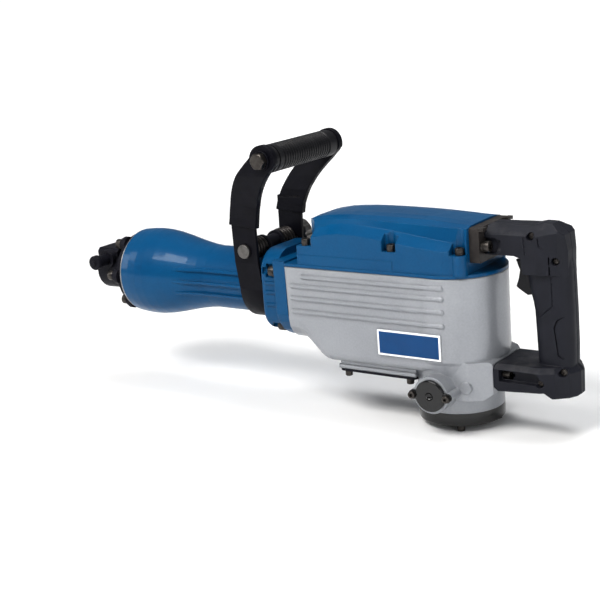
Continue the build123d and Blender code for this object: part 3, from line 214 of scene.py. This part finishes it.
def gloss_paint(name, colour, dark, chip, metallic, roughness, coat):
    """Sprayed enamel over a casting: slight orange peel, worn edges and faint dust."""
    s = Surface(name)
    tone = s.mix(s.remap(s.noise(14.0, 4.0), 0.3, 0.7), colour, dark)
    fleck = s.remap(s.noise(420.0, 2.0), 0.35, 0.75)
    tone = s.mix(s.maths("MULTIPLY", fleck, 0.10), tone, scaled(colour, 1.6, 0.01))
    tone = s.mix(s.maths("MULTIPLY", dust_amount(s), 0.03), tone, (0.22, 0.22, 0.21))
    worn = s.maths("MULTIPLY", s.edges(0.8 * MM, 0.45), s.remap(s.noise(60.0, 4.0, 0.6), 0.45, 0.62))
    tone = s.mix(worn, tone, chip)
    wiped = s.noise(55.0, 5.0, 0.7, stretch=(1.0, 1.0, 0.35))
    smear = s.remap(wiped, 0.35, 0.75, roughness, roughness + 0.12)
    s.set(Base_Color=tone, Metallic=metallic, Roughness=smear, Coat_Weight=coat, Coat_Roughness=0.07,
          Specular_IOR_Level=0.12)
    s.round_edges(2.2 * MM)
    s.bump(s.noise(300.0, 1.0, 0.4), 0.06, 0.3 * MM)
    s.bump(s.noise(70.0, 2.0, 0.5), 0.08, 0.8 * MM)
    return s.material


def rough_black(name, colour, wear_colour, roughness, grain, depth):
    """Painted forging or pressing with a fine grain and rubbed edges."""
    s = Surface(name)
    tone = s.mix(s.remap(s.noise(60.0, 5.0, 0.6), 0.3, 0.7), colour, scaled(colour, 1.7))
    worn = s.maths("MULTIPLY", s.edges(0.7 * MM), s.remap(s.noise(260.0, 5.0, 0.7), 0.48, 0.66))
    tone = s.mix(worn, tone, wear_colour)
    shine = s.remap(s.noise(130.0, 4.0, 0.65), 0.3, 0.75, roughness - 0.08, roughness + 0.14)
    s.set(Base_Color=tone, Metallic=s.maths("MULTIPLY", worn, 0.8), Roughness=shine,
          Specular_IOR_Level=0.11)
    s.round_edges(0.9 * MM)
    s.bump(s.noise(grain, 3.0, 0.6), 0.25, depth * MM)
    return s.material


def bare_metal(name, colour, stain, roughness, stretch=None):
    """Machined or plated metal with fine tool marks and darker stains."""
    s = Surface(name)
    streak = s.noise(900.0, 3.0, 0.6, stretch=stretch)
    tone = s.mix(s.remap(s.noise(90.0, 5.0, 0.65), 0.35, 0.70), colour, stain)
    tone = s.mix(s.maths("MULTIPLY", s.edges(0.4 * MM), 0.5), tone, scaled(colour, 2.0))
    shine = s.remap(streak, 0.3, 0.7, roughness - 0.07, roughness + 0.12)
    s.set(Base_Color=tone, Metallic=0.92, Roughness=shine)
    s.bump(streak, 0.16, 0.12 * MM)
    return s.material


def moulded_plastic(name, colour, roughness, grain, depth, sheen=0.0):
    """Moulded plastic with a spark-eroded grain and slightly polished high spots."""
    s = Surface(name)
    tone = s.mix(s.remap(s.noise(45.0, 4.0), 0.3, 0.7), colour, scaled(colour, 1.28))
    tone = s.mix(s.maths("MULTIPLY", dust_amount(s, 0.5, 0.8), 0.10), tone, (0.42, 0.41, 0.39))
    tone = s.mix(s.maths("MULTIPLY", s.edges(0.8 * MM), 0.22), tone, scaled(colour, 2.6))
    rubbed = s.remap(s.noise(26.0, 5.0, 0.65), 0.35, 0.7, roughness + 0.08, roughness - 0.08)
    s.set(Base_Color=tone, Roughness=rubbed, Sheen_Weight=sheen, Specular_IOR_Level=0.22)
    s.bump(s.cells(grain), 0.22, depth * MM)
    s.bump(s.noise(grain * 0.4, 2.0), 0.10, depth * MM)
    return s.material


def shiny_black(name, colour, scuffed, rubbed):
    """Glossy black enamel with hairline scuffs and rubbed edges."""
    s = Surface(name)
    scuff = s.remap(s.noise(420.0, 6.0, 0.75, stretch=(1.0, 1.0, 0.06)), 0.52, 0.72, 0.0, 1.0)
    tone = s.mix(s.maths("MULTIPLY", scuff, 0.10), colour, scuffed)
    tone = s.mix(s.maths("MULTIPLY", s.edges(0.6 * MM), 0.35), tone, rubbed)
    s.set(Base_Color=tone, Roughness=s.remap(scuff, 0.0, 1.0, 0.10, 0.26), Coat_Weight=0.3,
          Coat_Roughness=0.04, Specular_IOR_Level=0.4)
    s.bump(s.noise(300.0, 3.0), 0.06, 0.2 * MM)
    return s.material


def plate_enamel(name):
    """Blue name plate with a pale printed border and no lettering."""
    s = Surface(name)
    low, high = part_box("name_plate")
    split = s.node("ShaderNodeSeparateXYZ")
    s.link(s.place, split.inputs["Vector"])
    middle = (low + high) / 2
    half = (high - low) / 2
    across = s.maths("ABSOLUTE", s.maths("SUBTRACT", split.outputs["X"], middle.x, clamp=False), 0.0)
    upward = s.maths("ABSOLUTE", s.maths("SUBTRACT", split.outputs["Z"], middle.z, clamp=False), 0.0)
    rim_x = s.remap(across, half.x - PLATE_RIM - PLATE_RIM_SOFTNESS, half.x - PLATE_RIM)
    rim_z = s.remap(upward, half.z - PLATE_RIM - PLATE_RIM_SOFTNESS, half.z - PLATE_RIM)
    rim = s.maths("MAXIMUM", rim_x, rim_z)
    blue = s.mix(s.remap(s.noise(30.0, 4.0), 0.3, 0.7), (0.001, 0.055, 0.175), (0.001, 0.047, 0.150))
    white = s.mix(s.remap(s.noise(400.0, 4.0), 0.4, 0.8), (0.86, 0.87, 0.88), (0.74, 0.75, 0.77))
    s.set(Base_Color=s.mix(rim, blue, white), Roughness=s.remap(s.noise(70.0, 5.0), 0.3, 0.7, 0.28, 0.4),
          Coat_Weight=0.15, Coat_Roughness=0.15, Specular_IOR_Level=0.2)
    s.bump(s.noise(500.0, 2.0), 0.05, 0.1 * MM)
    return s.material


BLUE = gloss_paint("blue_enamel", (0.0006, 0.070, 0.172), (0.0005, 0.056, 0.145), (0.01, 0.11, 0.22),
                   metallic=0.0, roughness=0.285, coat=0.18)
SILVER = gloss_paint("silver_enamel", (0.30, 0.31, 0.33), (0.26, 0.27, 0.29), (0.42, 0.43, 0.45),
                     metallic=0.30, roughness=0.285, coat=0.4)
FORGED = rough_black("forged_black", (0.007, 0.007, 0.0105), (0.09, 0.08, 0.074),
                     roughness=0.46, grain=430.0, depth=0.4)
STRAP = rough_black("strap_black", (0.003, 0.003, 0.0052), (0.05, 0.046, 0.042),
                    roughness=0.42, grain=480.0, depth=0.15)
BRACKET = rough_black("bracket_steel", (0.026, 0.023, 0.022), (0.20, 0.18, 0.165),
                      roughness=0.40, grain=450.0, depth=0.25)
FASTENER = bare_metal("dark_zinc", (0.085, 0.078, 0.072), (0.04, 0.035, 0.032), 0.38)
KNOB = bare_metal("zinc_plated", (0.17, 0.165, 0.16), (0.10, 0.095, 0.09), 0.42)
GROUND = bare_metal("ground_steel", (0.36, 0.36, 0.37), (0.24, 0.235, 0.23), 0.35)
SPRING = bare_metal("spring_wire", (0.06, 0.056, 0.054), (0.03, 0.026, 0.026), 0.36)
COPPER = bare_metal("bare_copper", (0.62, 0.30, 0.17), (0.40, 0.19, 0.11), 0.36)
STACK = bare_metal("stacked_sheets", (0.26, 0.26, 0.27), (0.18, 0.17, 0.17), 0.42,
                   stretch=(0.05, 0.05, 3.0))
HANDLE = moulded_plastic("handle_plastic", (0.0105, 0.0112, 0.0165), 0.50, 800.0, 0.10)
GRIP = moulded_plastic("grip_plastic", (0.008, 0.008, 0.0096), 0.37, 800.0, 0.06)
RUBBER = moulded_plastic("soft_rubber", (0.010, 0.010, 0.011), 0.60, 1500.0, 0.15, sheen=0.1)
GASKET = moulded_plastic("gasket_sheet", (0.16, 0.17, 0.185), 0.70, 1200.0, 0.1)
CARBON = moulded_plastic("carbon", (0.03, 0.03, 0.032), 0.55, 1700.0, 0.1)
GLOSS_BLACK = shiny_black("gloss_black", (0.004, 0.004, 0.0045), (0.05, 0.047, 0.045),
                          (0.12, 0.115, 0.11))
PLATE = plate_enamel("plate_enamel")

SLOT_MATERIALS = {
    "black_cast": FORGED, "blue_paint": BLUE, "silver_paint": SILVER, "fastener": FASTENER, "steel": GROUND,
    "bracket_steel": BRACKET, "strap_steel": STRAP, "spring_steel": SPRING, "handle_plastic": HANDLE,
    "black_plastic": GRIP, "gloss_black": GLOSS_BLACK, "rubber": RUBBER, "gasket": GASKET, "copper": COPPER,
    "lamination": STACK, "carbon": CARBON, "plate_blue": PLATE,
}

NODE_MATERIALS = {"clamp_knob": KNOB, "clamp_bolt": KNOB}


def dress_cad_nodes():
    """Gives every node the material of its slot, unless it has one of its own."""
    for part in frame["record"]["subparts"]:
        node = nodes[part["node"]]
        finish = NODE_MATERIALS.get(part["node"]) or SLOT_MATERIALS[part["material_slot"]]
        if not node.data.materials:
            node.data.materials.append(finish)
        for k in range(len(node.material_slots)):
            node.material_slots[k].material = finish


dress_cad_nodes()


# ---------------------------------------------------------------- modifiers

def soften_moulding(name):
    """Rebuilds a moulding as an even skin, so that every edge gets a small radius."""
    node = nodes[name]
    remesh = node.modifiers.new("moulded_skin", "REMESH")
    remesh.mode = "VOXEL"
    remesh.voxel_size = HANDLE_SKIN_VOXEL
    remesh.use_smooth_shade = True
    smooth = node.modifiers.new("moulded_radius", "SMOOTH")
    smooth.factor = 0.5
    smooth.iterations = HANDLE_SKIN_PASSES


def break_edges(name, width, segments=2):
    """Gives every sharp edge a narrow rounded bevel."""
    node = nodes[name]
    weld = node.modifiers.new("joined_faces", "WELD")
    weld.merge_threshold = WELD_DISTANCE
    bevel = node.modifiers.new("broken_edges", "BEVEL")
    bevel.width = width
    bevel.segments = segments
    bevel.limit_method = "ANGLE"
    bevel.angle_limit = math.radians(32.0)
    bevel.harden_normals = True
    bevel.use_clamp_overlap = True


MOULDINGS = ("handle_left", "handle_right")
PRESSINGS = ("arm_left", "arm_right", "bottom_plate", "end_ring")
FITTINGS = ("clamp_band", "handle_bracket", "clamp_knob", "clamp_saddle", "grip_washers", "lock_bolt")
SMALL_PARTS = ("barrel_bolts", "cover_bolts", "lower_screws", "handle_bolts", "brush_cap_screws",
               "handle_screws", "grip_bolt", "clamp_bolt", "trigger", "name_plate")

for name in MOULDINGS:
    soften_moulding(name)
for name in PRESSINGS:
    break_edges(name, 1.4 * MM, segments=3)
for name in FITTINGS:
    break_edges(name, 0.6 * MM)
for name in SMALL_PARTS:
    break_edges(name, 0.25 * MM)


# ---------------------------------------------------------------- studio

def make_camera():
    camera = bpy.data.objects.new("camera", bpy.data.cameras.new("camera"))
    bpy.context.scene.collection.objects.link(camera)
    back = CAMERA_RIGHT.cross(CAMERA_UP)
    turn = Matrix((CAMERA_RIGHT, CAMERA_UP, back)).transposed()
    camera.matrix_world = Matrix.Translation(CAMERA_PLACE) @ turn.to_4x4()
    camera.data.lens = CAMERA_LENS
    camera.data.sensor_width = CAMERA_SENSOR
    camera.data.clip_start = CAMERA_NEAR
    bpy.context.scene.camera = camera


def softbox(name, place, aim, width, height, power, colour):
    light = bpy.data.lights.new(name, "AREA")
    light.shape = "RECTANGLE"
    light.size = width
    light.size_y = height
    light.energy = power
    light.color = colour
    lamp = bpy.data.objects.new(name, light)
    bpy.context.scene.collection.objects.link(lamp)
    lamp.location = place
    lamp.rotation_mode = "QUATERNION"
    lamp.rotation_quaternion = (Vector(aim) - Vector(place)).to_track_quat("-Z", "Y")


def floor_glow(surface):
    """Lifts the floor to the backdrop's brightness away from the object, where no lamp reaches."""
    distance = surface.node("ShaderNodeVectorMath", operation="LENGTH")
    surface.link(surface.place, distance.inputs[0])
    reach = distance.outputs["Value"]
    return surface.remap(reach, FLOOR_GLOW_START, FLOOR_GLOW_FULL, 0.0, FLOOR_GLOW)


def pale_floor():
    mesh = bpy.data.meshes.new("floor")
    floor_z = cad_box[0].z - FLOOR_GAP
    corners = [(x * FLOOR_HALF, y * FLOOR_HALF, floor_z) for x, y in ((-1, -1), (1, -1), (1, 1), (-1, 1))]
    mesh.from_pydata(corners, [], [(0, 1, 2, 3)])
    floor = bpy.data.objects.new("floor", mesh)
    bpy.context.scene.collection.objects.link(floor)
    s = Surface("pale_floor")
    tone = s.mix(s.remap(s.noise(1.6, 3.0), 0.3, 0.7), (0.90, 0.90, 0.90), (0.885, 0.885, 0.89))
    s.set(Base_Color=tone, Roughness=0.8, Specular_IOR_Level=0.1, Emission_Color=(1.0, 1.0, 1.0),
          Emission_Strength=floor_glow(s))
    mesh.materials.append(s.material)


def pale_sky():
    """Soft light from all round, with a brighter backdrop where the camera looks straight at it."""
    world = bpy.data.worlds.new("studio")
    bpy.context.scene.world = world
    world.use_nodes = True
    tree = world.node_tree
    sky = tree.nodes["Background"]
    path = tree.nodes.new("ShaderNodeLightPath")
    level = tree.nodes.new("ShaderNodeMapRange")
    level.inputs["To Min"].default_value = SKY_GLOW
    level.inputs["To Max"].default_value = BACKDROP_GLOW
    tree.links.new(path.outputs["Is Camera Ray"], level.inputs["Value"])
    tree.links.new(level.outputs["Result"], sky.inputs["Strength"])
    sky.inputs["Color"].default_value = SKY_COLOUR


def make_studio():
    pale_sky()
    for lamp in SOFTBOXES:
        softbox(*lamp)
    pale_floor()
    view = bpy.context.scene.view_settings
    view.view_transform = "Standard"
    view.exposure = EXPOSURE
    view.gamma = GAMMA


make_camera()
make_studio()
